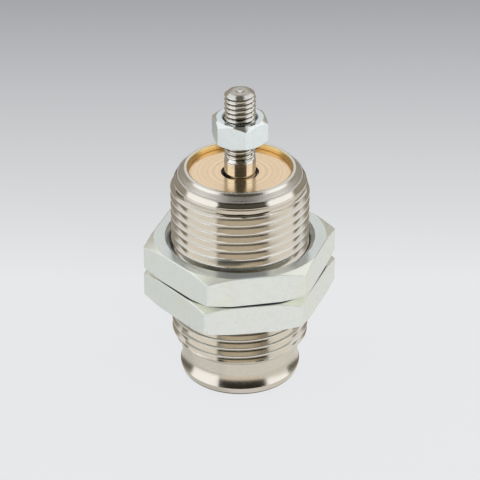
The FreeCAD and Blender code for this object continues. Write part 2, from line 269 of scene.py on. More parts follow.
table = blend_colour(room, ease(room, into_box, *TABLE_FADE), front_table, side_table)
seen_in_metal = blend_colour(room, ease(room, over_table, -1.0, 1.0), table, lit)
by_camera = add_node(room, "ShaderNodeLightPath").outputs["Is Camera Ray"]
seen = blend_colour(room, by_camera, seen_in_metal, BACKDROP)
background = add_node(room, "ShaderNodeBackground", {"Color": seen})
add_node(room, "ShaderNodeOutputWorld", {"Surface": background.outputs[0]})
print("World nodes:", len(room.nodes))

# %% [markdown]
# The part stands on a pale sweep that turns greyer towards the back. It is a plain sheet with a ramp
# along Y. Most of its colour is its own, so it stays as pale as in the photograph, and a share is left
# to the light, so that the part still drops a soft shadow. Metal sees the world's pale table instead of
# this sheet.

# %% Floor sheet
SHEET_HALF = 3.0
SHEET_DROP = 0.03 * MM
FADE_START = 26 * MM
FADE_END = 144 * MM
OWN_COLOUR = 0.88

floor_mesh = bpy.data.meshes.new("floor_sheet")
floor_corners = [(-1, -1), (1, -1), (1, 1), (-1, 1)]
floor_points = [(x * SHEET_HALF, y * SHEET_HALF, -SHEET_DROP) for x, y in floor_corners]
floor_mesh.from_pydata(floor_points, [], [(0, 1, 2, 3)])
floor = bpy.data.objects.new("floor_sheet", floor_mesh)
bpy.context.scene.collection.objects.link(floor)
floor.visible_glossy = False

sheet = bpy.data.materials.new("grey_sweep")
sheet.use_nodes = True
tree = sheet.node_tree
tree.nodes.clear()
towards_back = split(tree, add_node(tree, "ShaderNodeTexCoord").outputs["Object"])["Y"]
fade = calc(tree, "DIVIDE", calc(tree, "SUBTRACT", towards_back, FADE_START), FADE_END - FADE_START)
sweep = ramp(tree, fade, [
    (0.0, rgb(234, 235, 237)),
    (0.24, rgb(219, 220, 222)),
    (1.0, rgb(168, 169, 173)),
])
own = add_node(tree, "ShaderNodeEmission", {"Color": sweep}).outputs[0]
lit_share = add_node(tree, "ShaderNodeBsdfDiffuse", {"Color": sweep}).outputs[0]
rays = add_node(tree, "ShaderNodeLightPath").outputs
shown = calc(tree, "MAXIMUM", rays["Is Camera Ray"], rays["Is Transmission Ray"])
own_share = calc(tree, "MULTIPLY", shown, OWN_COLOUR)
mix = add_node(tree, "ShaderNodeMixShader", enumerate((own_share, lit_share, own)))
add_node(tree, "ShaderNodeOutputMaterial", {"Surface": mix.outputs[0]})
floor_mesh.materials.append(sheet)
print("Floor sheet", 2 * SHEET_HALF, "m wide")

# %% [markdown]
# Zinc scatters most of its light, so the painted room alone leaves the nuts dull. A wide soft lamp
# behind the camera, above it and a little to its right, fills them from the front. It is kept out of
# mirror reflections, because the photograph's metal shows none there.

# %% Fill lamp
LAMP_PLACE = Vector((200, -730, 350)) * MM
LAMP_AIM = Vector((0, 0, 0.025))
LAMP_WATTS = 3.6
LAMP_SIZE = 0.6

lamp_data = bpy.data.lights.new("fill_lamp", "AREA")
lamp_data.energy = LAMP_WATTS
lamp_data.size = LAMP_SIZE
lamp = bpy.data.objects.new("fill_lamp", lamp_data)
lamp.location = LAMP_PLACE
lamp.rotation_euler = (LAMP_AIM - LAMP_PLACE).to_track_quat("-Z", "Y").to_euler()
lamp.visible_glossy = False
bpy.context.scene.collection.objects.link(lamp)
print("Fill lamp", round(LAMP_PLACE.length, 2), "m away")

# %% [markdown]
# Nearly every piece was turned on a lathe, so its form is one outline swept round the axis. A lathe
# tool never leaves a perfect corner. The helper below rounds each corner of an outline with a short
# curve and adds a support point on either side, so that smooth shading bends only in the rounding and
# flats stay flat.

# %% Helpers for turned pieces
TRIM_SHARE = 0.3
SUPPORT_SHARE = 1.5
SAME_POINT = 0.0005 * MM


def rounded(points, radius, steps=3):
    """An outline of (radius, height) points with each inner corner rounded."""
    result = [Vector(points[0])]
    for before, corner, after in zip(points, points[1:], points[2:]):
        corner = Vector(corner)
        back, ahead = Vector(before) - corner, Vector(after) - corner
        trim = min(radius, TRIM_SHARE * back.length, TRIM_SHARE * ahead.length)
        start, end = corner + back.normalized() * trim, corner + ahead.normalized() * trim
        result.append(corner + back.normalized() * trim * SUPPORT_SHARE)
        for step in range(steps + 1):
            t = step / steps
            result.append(start.lerp(corner, t).lerp(corner.lerp(end, t), t))
        result.append(corner + ahead.normalized() * trim * SUPPORT_SHARE)
    return result + [Vector(points[-1])]


def sweep_round(bm, outline, columns):
    """Sweep an open outline in millimetres round Z. A point on the axis becomes one pole."""
    rings = []
    for radius, height in outline:
        if radius < 1e-6:
            rings.append([bm.verts.new((0, 0, height * MM))] * columns)
            continue
        ring = []
        for column in range(columns):
            angle = 2 * math.pi * column / columns
            across, deep = radius * math.cos(angle), radius * math.sin(angle)
            ring.append(bm.verts.new((across * MM, deep * MM, height * MM)))
        rings.append(ring)
    for low, high in zip(rings, rings[1:]):
        for column in range(columns):
            following = (column + 1) % columns
            corners = [low[column], low[following], high[following], high[column]]
            bm.faces.new(list(dict.fromkeys(corners)))


def finished(name, bm):
    """Turn a bmesh into an object at the origin, smooth shaded."""
    bmesh.ops.remove_doubles(bm, verts=bm.verts, dist=SAME_POINT)
    mesh = bpy.data.meshes.new(name)
    bm.to_mesh(mesh)
    bm.free()
    mesh.shade_smooth()
    piece = bpy.data.objects.new(name, mesh)
    bpy.context.scene.collection.objects.link(piece)
    return piece


# %% [markdown]
# Threads and the spring are wound, not swept, so Geometry Nodes make them. Each tree starts with named
# inputs and ends alike, with real geometry in a finish. In between, points get new positions, most of
# them round the axis.

# %% Helpers for Geometry Nodes
def new_tree(name, sizes, counts):
    """A tree with named inputs, and the sockets that give them."""
    tree = bpy.data.node_groups.new(name, "GeometryNodeTree")
    kinds = {"Geometry": "Geometry", **dict.fromkeys(sizes, "Float"), **dict.fromkeys(counts, "Int")}
    for label, kind in {**kinds, "Finish": "Material"}.items():
        tree.interface.new_socket(label, in_out="INPUT", socket_type=f"NodeSocket{kind}")
    tree.interface.new_socket("Geometry", in_out="OUTPUT", socket_type="NodeSocketGeometry")
    return tree, add_node(tree, "NodeGroupInput").outputs


def close_tree(tree, geometry, finish):
    """End a tree with real geometry in its finish."""
    real = add_node(tree, "GeometryNodeRealizeInstances", {"Geometry": geometry}).outputs[0]
    coated = add_node(tree, "GeometryNodeSetMaterial", {"Geometry": real, "Material": finish})
    add_node(tree, "NodeGroupOutput", {"Geometry": coated.outputs[0]})


def moved(tree, geometry, position):
    """Geometry with its points at new positions."""
    inputs = {"Geometry": geometry, "Position": position}
    return add_node(tree, "GeometryNodeSetPosition", inputs).outputs[0]


def join(tree, x, y, z=0.0):
    """A vector from its X, Y and Z."""
    return add_node(tree, "ShaderNodeCombineXYZ", enumerate((x, y, z))).outputs[0]


def round_axis(tree, radius, turn, height):
    """A position at a radius, a number of turns and a height."""
    angle = calc(tree, "MULTIPLY", turn, 2 * math.pi)
    across = calc(tree, "MULTIPLY", radius, calc(tree, "COSINE", angle))
    deep = calc(tree, "MULTIPLY", radius, calc(tree, "SINE", angle))
    return join(tree, across, deep, height)


# %% [markdown]
# A thread follows a rule: along a helix, the radius rises and falls with a V of about sixty degrees,
# cut off at crest and root and rounded there, much on a rolled thread and hardly at all on a cut one.
# The rule can be stated once for every thread on the part. The tool's tip may leave a root that leans,
# and the thread may fade at its ends.

# %% Rule of the thread
FLANK_SLOPE = 1 / math.tan(math.radians(31))
CREST_FLAT = 1 / 8


def thread_radius(tree, given, helix, height):
    """The radius at a height, where the crest's middle is at the height of the helix."""
    def sum_of(operation, *values):
        return calc(tree, operation, *values)

    # The V between crest and root
    pitch, major, minor = given["Pitch"], given["Major Radius"], given["Minor Radius"]
    off_helix = sum_of("SUBTRACT", height, helix)
    off_crest = sum_of("PINGPONG", off_helix, sum_of("MULTIPLY", pitch, 0.5))
    peak = sum_of("MULTIPLY_ADD", pitch, FLANK_SLOPE * CREST_FLAT / 2, major)
    flank = sum_of("MULTIPLY_ADD", off_crest, -FLANK_SLOPE, peak)
    crested = sum_of("SMOOTH_MIN", flank, major, given["Crest Rounding"])
    past_crest = sum_of("WRAP", off_helix, pitch, 0.0)
    under_root = sum_of("MULTIPLY_ADD", pitch, 0.5, sum_of("MULTIPLY", past_crest, -1.0))
    root = sum_of("MULTIPLY_ADD", under_root, given["Root Tilt"], minor)
    rooted = sum_of("SMOOTH_MAX", crested, root, given["Root Rounding"])

    # The run-out lifts the root to the crest at the bottom, the run-in to the upper end's radius
    above = sum_of("SUBTRACT", height, given["Bottom"])
    under = sum_of("SUBTRACT", given["Top"], height)
    depth = sum_of("SUBTRACT", major, minor)
    sunk = sum_of("MULTIPLY", depth, sum_of("DIVIDE", above, given["Run Out"]))
    fading = sum_of("SUBTRACT", major, sunk)
    top_sunk = sum_of("MULTIPLY", depth, sum_of("DIVIDE", under, given["Run In"]))
    rising = sum_of("SUBTRACT", given["Top Radius"], top_sunk)
    faded = sum_of("MAXIMUM", rooted, sum_of("MAXIMUM", fading, rising))

    # The end cones trim the crests, from outside or from inside
    side = given["Side"]
    bottom_reach = sum_of("MULTIPLY", given["Bottom Radius"], side)
    top_reach = sum_of("MULTIPLY", given["Top Radius"], side)
    low_cone = sum_of("MULTIPLY_ADD", above, given["Bottom Slope"], bottom_reach)
    high_cone = sum_of("MULTIPLY_ADD", under, given["Top Slope"], top_reach)
    trimmed = sum_of("MINIMUM", sum_of("MULTIPLY", faded, side), sum_of("MINIMUM", low_cone, high_cone))
    return sum_of("MULTIPLY", trimmed, side)


# %% [markdown]
# The surface is a flat grid, wound into a strip one pitch wide, so that crests run along its rows and
# stay crisp. The strip starts at a crest more than one pitch below the thread and ends above it. It is
# welded to itself turn by turn, cut off at both ends, and joined to the turned piece.

# %% The thread as a node tree
THREAD_SIZES = (
    "Pitch", "Major Radius", "Minor Radius", "Crest Height", "Bottom", "Top", "Bottom Radius",
    "Bottom Slope", "Top Radius", "Top Slope", "Run Out", "Run In", "Side", "First Angle",
    "Crest Rounding", "Root Rounding", "Root Tilt",
)
WELD = 0.0015 * MM
CRISP_ANGLE = math.radians(40)


def thread_tree():
    tree, given = new_tree("helical_thread", THREAD_SIZES, ("Columns", "Rows"))

    def sum_of(operation, *values):
        return calc(tree, operation, *values)

    # The grid, with the turns along it and the share of the pitch across it
    pitch, bottom, top = given["Pitch"], given["Bottom"], given["Top"]
    first_turn = sum_of("DIVIDE", given["First Angle"], 2 * math.pi)
    off_bottom = sum_of("SUBTRACT", bottom, given["Crest Height"])
    low_turn = sum_of("SUBTRACT", sum_of("DIVIDE", off_bottom, pitch), first_turn)
    start_turn = sum_of("SUBTRACT", sum_of("FLOOR", low_turn), 1.0)
    turns = sum_of("ADD", sum_of("CEIL", sum_of("DIVIDE", sum_of("SUBTRACT", top, bottom), pitch)), 2.0)
    grid = add_node(tree, "GeometryNodeMeshGrid", {
        "Size X": 1.0,
        "Size Y": 1.0,
        "Vertices X": sum_of("MULTIPLY_ADD", turns, given["Columns"], 1.0),
        "Vertices Y": sum_of("ADD", given["Rows"], 1.0),
    })
    flat = split(tree, add_node(tree, "GeometryNodeInputPosition").outputs[0])
    along = sum_of("MULTIPLY", sum_of("ADD", flat["X"], 0.5), turns)
    across = sum_of("ADD", flat["Y"], 0.5)

    # Height along the helix, cut off at both ends
    turn = sum_of("ADD", first_turn, along)
    helix = sum_of("MULTIPLY_ADD", turn, pitch, given["Crest Height"])
    climbed = sum_of("MULTIPLY_ADD", sum_of("ADD", start_turn, across), pitch, helix)
    height = sum_of("MAXIMUM", sum_of("MINIMUM", climbed, top), bottom)

    # Wind the grid, turn an inner thread's faces inwards, join it to the piece and weld them
    radius = thread_radius(tree, given, helix, height)
    wound = moved(tree, grid.outputs["Mesh"], round_axis(tree, radius, turn, height))
    inner = sum_of("LESS_THAN", given["Side"], 0.0)
    flipped = add_node(tree, "GeometryNodeFlipFaces", {"Mesh": wound, "Selection": inner})
    joined = add_node(tree, "GeometryNodeJoinGeometry", {0: given["Geometry"]})
    plug(tree, flipped.outputs[0], joined.inputs[0])
    parts = {"Geometry": joined.outputs[0], "Distance": WELD}
    welded = add_node(tree, "GeometryNodeMergeByDistance", parts).outputs[0]

    # Smooth faces, with crisp edges where they bend sharply
    smooth = add_node(tree, "GeometryNodeSetShadeSmooth", {"Geometry": welded}).outputs[0]
    bend = add_node(tree, "GeometryNodeInputMeshEdgeAngle").outputs["Unsigned Angle"]
    sharp = sum_of("GREATER_THAN", bend, CRISP_ANGLE)
    edges = {"Geometry": smooth, "Selection": sharp, "Shade Smooth": False}
    crisp = add_node(tree, "GeometryNodeSetShadeSmooth", edges, domain="EDGE").outputs[0]
    close_tree(tree, crisp, given["Finish"])
    return tree


THREAD = thread_tree()
print("Thread tree:", len(THREAD.nodes), "nodes,", len(THREAD_SIZES), "sizes")


# %% [markdown]
# A modifier puts such a tree on a piece. It knows each input only by its identifier, so a helper looks
# that up by name. Another turns the live result into a plain mesh, which the later steps can read.

# %% Put a tree on a piece
def apply_tree(piece, tree, settings):
    """Put a tree on a piece, with its inputs set by name."""
    modifier = piece.modifiers.new(tree.name, "NODES")
    modifier.node_group = tree
    for socket in tree.interface.items_tree:
        if socket.in_out == "INPUT" and socket.name in settings:
            modifier[socket.identifier] = settings[socket.name]


def settle(piece):
    """Replace a piece's live modifiers by the plain mesh that they make."""
    bpy.context.view_layer.update()
    evaluated = piece.evaluated_get(bpy.context.evaluated_depsgraph_get())
    mesh = bpy.data.meshes.new_from_object(evaluated)
    piece.modifiers.clear()
    piece.data = mesh
    triangles = sum(len(face.vertices) - 2 for face in mesh.polygons)
    print(f"{piece.name}: {triangles} triangles")


# %% [markdown]
# A thread is then cut by naming its sizes in millimetres. What a call leaves out is taken from a plain
# thread. A tapped bore is the same thread seen from inside, with a countersink of 45 degrees at either
# mouth.

# %% Cut or tap a thread
PLAIN_THREAD = {
    "run_out": 1e-3, "run_in": 1e-3, "root_tilt": 0, "crest_rounding": 0.03, "root_rounding": 0.03,
}
PLAIN_NUMBERS = ("Side", "Bottom Slope", "Top Slope", "Root Tilt")


def cut_thread(piece, finish, columns, rows, first_angle=0.0, **sizes):
    """Add the thread tree to a piece. Lengths are in millimetres."""
    settings = {"First Angle": first_angle, "Columns": columns, "Rows": rows, "Finish": finish}
    for name, size in {**PLAIN_THREAD, **sizes}.items():
        label = name.replace("_", " ").title()
        settings[label] = float(size) if label in PLAIN_NUMBERS else float(size) * MM
    apply_tree(piece, THREAD, settings)


def tap_bore(piece, finish, columns, rows, mouth, first_angle=0.0, **sizes):
    """Add an inner thread between two countersunk mouths."""
    ends = {"bottom_radius": mouth, "bottom_slope": 1, "top_radius": mouth, "top_slope": 1}
    cut_thread(piece, finish, columns, rows, first_angle, side=-1, **ends, **sizes)


# %% [markdown]
# Finishes come before the pieces that wear them. All share a start: a metal shader, and coordinates
# that follow the lathe, so that fine turning marks run round the axis as they do on a real turned
# surface.

# %% Helpers for finishes
def new_finish(name, metallic=1.0):
    """A material, its tree and its shader's inputs."""
    finish = bpy.data.materials.new(name)
    finish.use_nodes = True
    coat = finish.node_tree.nodes["Principled BSDF"].inputs
    coat["Metallic"].default_value = metallic
    return finish, finish.node_tree, coat


def object_place(tree):
    """Object coordinates, and the distance from the axis and the height."""
    place = add_node(tree, "ShaderNodeTexCoord").outputs["Object"]
    across, deep, height = split(tree, place)
    squares = calc(tree, "ADD", calc(tree, "MULTIPLY", across, across), calc(tree, "MULTIPLY", deep, deep))
    return place, calc(tree, "SQRT", squares), height


def zone(tree, length, start_mm, end_mm):
    """A smooth step from 0 to 1 between two lengths in millimetres."""
    return ease(tree, length, start_mm * MM, end_mm * MM)


def both(tree, first, second):
    """Where two zones overlap."""
    return calc(tree, "MULTIPLY", first, second)


def speckle(tree, place, size_mm, detail=2.0):
    """Noise with grains of about this size, from 0 to 1."""
    inputs = {"Vector": place, "Scale": 1 / (size_mm * MM), "Detail": detail}
    return add_node(tree, "ShaderNodeTexNoise", inputs).outputs[0]


def lathe_marks(tree, axis_distance, height, width_mm):
    """Fine rings round the axis, of about this width."""
    return speckle(tree, join(tree, axis_distance, height), width_mm, detail=3.0)


def relief(tree, coat, height, depth_mm):
    """Bump from a height between 0 and 1."""
    bump = add_node(tree, "ShaderNodeBump", {"Distance": depth_mm * MM, "Height": height})
    plug(tree, bump.outputs[0], coat["Normal"])


# %% [markdown]
# The barrel is the main piece, so its sizes come first: the finish needs them as well as the shape.
# They repeat the CAD model's, and add what only a close look shows, such as the short plain land ahead
# of the thread and the small step above it.

# %% Sizes of the barrel
COLUMNS = 160
BARREL_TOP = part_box("cartridge_barrel")[1].z / MM
NECK_RADIUS = 9.47
NECK_TOP = 5.7
LIP_RADIUS = 9.725
LIP_BOTTOM = 0.12
LIP_TOP = 1.46
LIP_EDGE = 0.08
LIP_DROP = 0.12
LIP_CROWN = 2.9
FLARE_TOP = 3.66
FLARE_RADIUS = 9.34
THREAD_MAJOR = 11
THREAD_DEPTH = 0.92
THREAD_MINOR = THREAD_MAJOR - THREAD_DEPTH
THREAD_PITCH = 1.5
CREST_HEIGHT = 1.06
LAND_BOTTOM = 33.85
LAND_TOP = 34.65
LAND_RADIUS = 10.5
STEP_RADIUS = 10.35
STEP_TOP = 34.92
CHAMFER_END = 35.5
CHAMFER_RADIUS = 10
COLLAR_RADIUS = 9.12
RIM_INNER = 8.1
RIM_BEVEL = 0.25
RIM_SHOULDER = 0.44
RIM_LEAN = 0.55
RIM_DEPTH = 0.9
LEDGE_HEIGHT = 0.22
LEDGE_WIDTH = 0.32
CAP_THICKNESS = 2.5
CAP_FACE = BARREL_TOP - RIM_DEPTH
CAP_SEAT = CAP_FACE - CAP_THICKNESS
CAP_POCKET = 8.5
BORE_RADIUS = 8
REAR_WALL = 5.5
PORT_MOUTH = 2.6
PORT_MAJOR = 2.5
PORT_MINOR = 2.1
PORT_PITCH = 0.8
print("Barrel from 0 to", round(BARREL_TOP, 2), "mm")

# %% [markdown]
# The barrel's skin changes from zone to zone. Inside the rolled rim and in the bore the plate was
# turned away, so bare brass shows there. The neck and the rolled collar are satin, while the flared lip
# was burnished by the tool that formed it. Its foot, where it meets the table, is painted dark as a
# painted contact shadow. On the thread, the crests and the roots are painted paler than the plate, as
# painted highlight lines, and the roots are duller. A painted mask would need an unwrapped mesh. On a
# turned piece, height and radius tell the zones apart just as well.

# %% Zones of the barrel's skin
RIM_EDGE = RIM_INNER + RIM_BEVEL
NECK_REACH = (9.60, 9.52)
CONTACT_SHADOW_REACH = (9.15, 9.27)
CONTACT_SHADOW_HEIGHT = (0.40, 0.20)
REAR_FACE = (0.05, 0.15)
ROOT_REACH = (10.20, 10.10)
CREST_HIGHLIGHT_REACH = (10.90, 10.97)


def barrel_zones(tree, axis_distance, height):
    """Shares from 0 to 1 that tell which zones of the barrel a point is in."""
    past_flare = zone(tree, height, FLARE_TOP - 0.05, FLARE_TOP + 0.05)
    past_chamfer = zone(tree, height, CHAMFER_END, CHAMFER_END + 0.1)
    past_rim = zone(tree, axis_distance, COLLAR_RADIUS - 0.04, COLLAR_RADIUS + 0.04)
    within_rim = zone(tree, axis_distance, RIM_EDGE + 0.08, RIM_EDGE - 0.02)
    above_neck = zone(tree, height, NECK_TOP, NECK_TOP + 0.2)
    under_land = zone(tree, height, LAND_BOTTOM, LAND_BOTTOM - 0.2)
    on_thread = both(tree, above_neck, under_land)
    return {
        # The root and crest zones carry painted highlight lines
        "root": both(tree, on_thread, zone(tree, axis_distance, *ROOT_REACH)),
        "crest_highlight": both(tree, on_thread, zone(tree, axis_distance, *CREST_HIGHLIGHT_REACH)),
        "flare": zone(tree, height, FLARE_TOP, FLARE_TOP - 0.3),
        "neck": both(tree, past_flare, zone(tree, axis_distance, *NECK_REACH)),
        "collar": both(tree, past_chamfer, past_rim),
        # The foot zone carries a painted contact shadow
        "foot": both(tree, zone(tree, axis_distance, *CONTACT_SHADOW_REACH), zone(tree, height, *CONTACT_SHADOW_HEIGHT)),
        "inside": both(tree, within_rim, zone(tree, height, *REAR_FACE)),
    }


# %% [markdown]
# The barrel is brass under a thin nickel plate, warm grey and bright. Two noises cloud its colour and
# its polish, and fine rings from the lathe give it relief. Most zones then add a colour, and some a
# duller skin, one after the other. The pale crest and root colours are painted highlight, and the dark
# foot is a painted contact shadow.

# %% Nickel plate on brass
NICKEL = (0.735, 0.705, 0.645, 1)
NICKEL_DULL = (0.70, 0.66, 0.595, 1)
ZONE_COLOURS = {
    # Painted highlight: paler root and crest lines on the thread
    "root": (0.78, 0.76, 0.71, 1),
    "crest_highlight": (0.86, 0.84, 0.79, 1),
    "neck": (0.77, 0.745, 0.685, 1),
    "collar": (0.66, 0.635, 0.59, 1),
    # Painted contact shadow under the lip
    "foot": (0.11, 0.10, 0.09, 1),
    "inside": (0.74, 0.54, 0.235, 1),
}
ZONE_DULLING = {"root": 0.25, "flare": 0.08, "neck": 0.14, "collar": 0.20}
POLISH = (0.06, 0.15)


def nickel_plate():
    finish, tree, coat = new_finish("nickel_plate")
    place, axis_distance, height = object_place(tree)
    cloud = speckle(tree, place, 1.2)
    grain = speckle(tree, place, 0.25)
    zones = barrel_zones(tree, axis_distance, height)
    skin = blend_colour(tree, cloud, NICKEL, NICKEL_DULL)
    for name, colour in ZONE_COLOURS.items():
        skin = blend_colour(tree, zones[name], skin, colour)
    plug(tree, skin, coat["Base Color"])
    roughness = ease(tree, grain, 0.25, 0.8, *POLISH)
    for name, dulling in ZONE_DULLING.items():
        roughness = calc(tree, "MULTIPLY_ADD", zones[name], dulling, roughness)
    plug(tree, roughness, coat["Roughness"])
    marks = lathe_marks(tree, axis_distance, height, 0.06)
    relief(tree, coat, calc(tree, "ADD", marks, grain), 0.001)
    return finish


nickel = nickel_plate()
print("Finish", nickel.name)

# %% [markdown]
# The barrel's outline is drawn in two stretches, rear and front, and the helical thread closes the gap
# between them. The lip bulges a little and the flare is a smooth curve, so both come from a formula. At
# the front, the rolled rim stands on a conical collar with a small ledge below it.

# %% Outline of the barrel
REAR_ROUNDING = 0.1
NECK_ROUNDING = 0.03
FRONT_ROUNDING = 0.12

lip = []
for step in range(9):
    level = LIP_BOTTOM + (LIP_TOP - LIP_DROP - LIP_BOTTOM) * step / 8
    lip.append((LIP_RADIUS - (LIP_TOP - level) ** 2 / (2 * LIP_CROWN), level))
flare_widening = LIP_RADIUS - LIP_EDGE - FLARE_RADIUS
flare = []
for step in range(13):
    level = LIP_TOP + (FLARE_TOP - LIP_TOP) * step / 12
    share = (FLARE_TOP - level) / (FLARE_TOP - LIP_TOP)
    flare.append((FLARE_RADIUS + flare_widening * share ** 2, level))
foot = [(PORT_MOUTH, 0), (lip[0][0] - LIP_BOTTOM, 0), lip[0], lip[1]]
neck = [flare[-1], (NECK_RADIUS, FLARE_TOP + 0.04), (NECK_RADIUS, NECK_TOP)]
rear = rounded(foot, REAR_ROUNDING) + lip[2:] + flare + rounded(neck, NECK_ROUNDING)[1:-1]
rear += [(NECK_RADIUS, NECK_TOP - 0.2), (NECK_RADIUS, NECK_TOP)]
front = rounded([
    (LAND_RADIUS, LAND_BOTTOM),
    (LAND_RADIUS, LAND_TOP),
    (STEP_RADIUS, LAND_TOP + 0.03),
    (STEP_RADIUS, STEP_TOP),
    (CHAMFER_RADIUS, CHAMFER_END),
    (CHAMFER_RADIUS - 0.06, CHAMFER_END + LEDGE_HEIGHT),
    (CHAMFER_RADIUS - LEDGE_WIDTH, CHAMFER_END + LEDGE_HEIGHT + 0.02),
    (COLLAR_RADIUS, BARREL_TOP - RIM_SHOULDER),
    (COLLAR_RADIUS - RIM_LEAN * RIM_SHOULDER, BARREL_TOP),
    (RIM_EDGE, BARREL_TOP),
    (RIM_INNER, BARREL_TOP - RIM_BEVEL),
    (RIM_INNER, CAP_FACE),
    (CAP_POCKET, CAP_FACE),
    (CAP_POCKET, CAP_SEAT),
    (BORE_RADIUS, CAP_SEAT),
    (BORE_RADIUS, REAR_WALL),
    (PORT_MOUTH, REAR_WALL),
], FRONT_ROUNDING)
print("Barrel outline:", len(rear) + len(front), "points")

# %% [markdown]
# Swept round, the outline gets two threads: the long one outside, whose root leans a little, and the
# tapped air port in the rear wall. Sixteen rows to a pitch put a row on each edge of the crest.

# %% Barrel
THREAD_ROWS = 16
PORT_ROWS = 8
CRISP = 0.004

shell = bmesh.new()
sweep_round(shell, rear, COLUMNS)
sweep_round(shell, front, COLUMNS)
barrel = finished("threaded_barrel", shell)
cut_thread(
    barrel, nickel, COLUMNS, THREAD_ROWS, pitch=THREAD_PITCH, major_radius=THREAD_MAJOR,
    minor_radius=THREAD_MINOR, crest_height=CREST_HEIGHT, bottom=NECK_TOP, top=LAND_BOTTOM,
    bottom_radius=NECK_RADIUS, bottom_slope=1, top_radius=LAND_RADIUS, top_slope=8, side=1, run_in=0.6,
    crest_rounding=CRISP, root_rounding=CRISP, root_tilt=0.14,
)
tap_bore(
    barrel, nickel, COLUMNS, PORT_ROWS, PORT_MOUTH, pitch=PORT_PITCH, major_radius=PORT_MAJOR,
    minor_radius=PORT_MINOR, crest_height=0, bottom=0, top=REAR_WALL,
)
settle(barrel)
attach(barrel, "barrel_body")
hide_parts("cartridge_barrel")


# %% [markdown]
# The lock nuts are sawn from hexagon steel. A prism with bevelled edges would be the usual start, but
# its faces would have to be stitched to a round thread. Seen from the axis, every direction has one
# outline, so a nut can be swept round like a turned piece, with an outline that changes with the angle.
# First come those directions. Their columns crowd at the corners to round them.

# %% Columns round a hexagon
def hexagon_columns(flats, corner, turn, along=22, bends=5):
    """Angle and reach of each column round a hexagon whose corners are rounded."""
    half_flat = flats / 2
    slant = math.tan(math.radians(30))
    reach = (half_flat - corner) * slant
    inner = reach - 0.5 * corner
    places = [-reach] + [inner * (2 * k / (along - 1) - 1) for k in range(along)] + [reach]
    centre = (half_flat - corner) / math.cos(math.radians(30))
    columns = []
    for side in range(6):
        facing = turn + math.radians(30 + 60 * side)
        for place in places:
            columns.append((facing + math.atan2(place, half_flat), math.hypot(place, half_flat)))
        for bend in range(1, bends):
            swing = math.radians(60 * bend / bends - 30)
            out, aside = centre + corner * math.cos(swing), corner * math.sin(swing)
            columns.append((facing + math.radians(30) + math.atan2(aside, out), math.hypot(out, aside)))
    return columns


# %% [markdown]
# A cone chamfers both faces of a nut. Where it meets a flat, the edge bows, high in the middle of each
# side and low at the corners. That comes by itself when each column gets its own outline of face,
# chamfer and side. Towards the bore the columns spread evenly, as those of the thread do.

# %% Outside of a hexagon nut
NUT_EDGE = 0.12
FACE_SHARES = (0.0, 0.35, 0.7)
LAST_SHARE = 0.85


def hexagon_nut(name, bottom, top, columns, face, slope, mouth):
    """A hexagon nut's outside, open at both mouths of its bore. Lengths are in millimetres."""
    bm = bmesh.new()
    turned = bm.verts.layers.float.new("turned")
    start = mouth + NUT_EDGE
    strips = []
    for number, (angle, reach) in enumerate(columns):
        even = columns[0][0] + 2 * math.pi * number / len(columns)
        rim = min(face, reach - NUT_EDGE)
        drop = max((reach - rim) * math.tan(math.radians(slope)), 0.8 * NUT_EDGE)
        width = rim - start
        ring = [(start + width * share, even + (angle - even) * share) for share in FACE_SHARES]
        side = rounded([
            (start + width * LAST_SHARE, bottom),
            (rim, bottom),
            (reach, bottom + drop),
            (reach, top - drop),
            (rim, top),
            (start + width * LAST_SHARE, top),
        ], 0.5 * NUT_EDGE)
        points = [(mouth, even, bottom)] + [(r, a, bottom) for r, a in ring]
        points += [(r, angle, z) for r, z in side]
        points += [(r, a, top) for r, a in reversed(ring)] + [(mouth, even, top)]
        strip = []
        for r, a, z in points:
            corner = bm.verts.new((r * math.cos(a) * MM, r * math.sin(a) * MM, z * MM))
            corner[turned] = float(r < reach - 0.01)
            strip.append(corner)
        strips.append(strip)
    for strip, following in zip(strips, strips[1:] + strips[:1]):
        for row in range(len(strip) - 1):
            bm.faces.new((strip[row], following[row], following[row + 1], strip[row + 1]))
    return finished(name, bm)


# %% [markdown]
# Zinc plate is bluish white and satin: the bath leaves a fine crystal grain that scatters the light, so
# the flats look almost chalky beside the nickel. A faint yellow cast from the passivation pools in
# places. Faces and chamfers were turned before plating, so they shine more than the flats. The nut's
# mesh carries an attribute that tells the two apart, and the finish reads it. The chamfers are also
# painted paler, as a painted highlight, and the bore and the faces where the two lock nuts meet are
# painted dark, as painted shade.

# %% Zinc plate
ZINC = (0.84, 0.885, 0.865, 1)
ZINC_GREY = (0.80, 0.85, 0.825, 1)
ZINC_YELLOW = (0.84, 0.84, 0.68, 1)
# Dark zinc for the random specks, and for painted shade in the bore and between the lock nuts
ZINC_SPECK_AND_SHADE = (0.20, 0.215, 0.21, 1)
TURNED_ZINC = (0.77, 0.815, 0.80, 1)
# A paler chamfer colour, as a painted highlight
ZINC_BEVEL_HIGHLIGHT = (0.93, 0.955, 0.87, 1)
ZINC_RELIEF = 0.0003
BORE_START = 0.955
BORE_END = 0.935
# Reach of the painted shade on either side of the lock nuts' meeting faces
GAP_SHADE_REACH = (0.2, 0.14)
NUT_GAP = (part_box("lower_lock_nut")[1].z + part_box("upper_lock_nut")[0].z) / 2


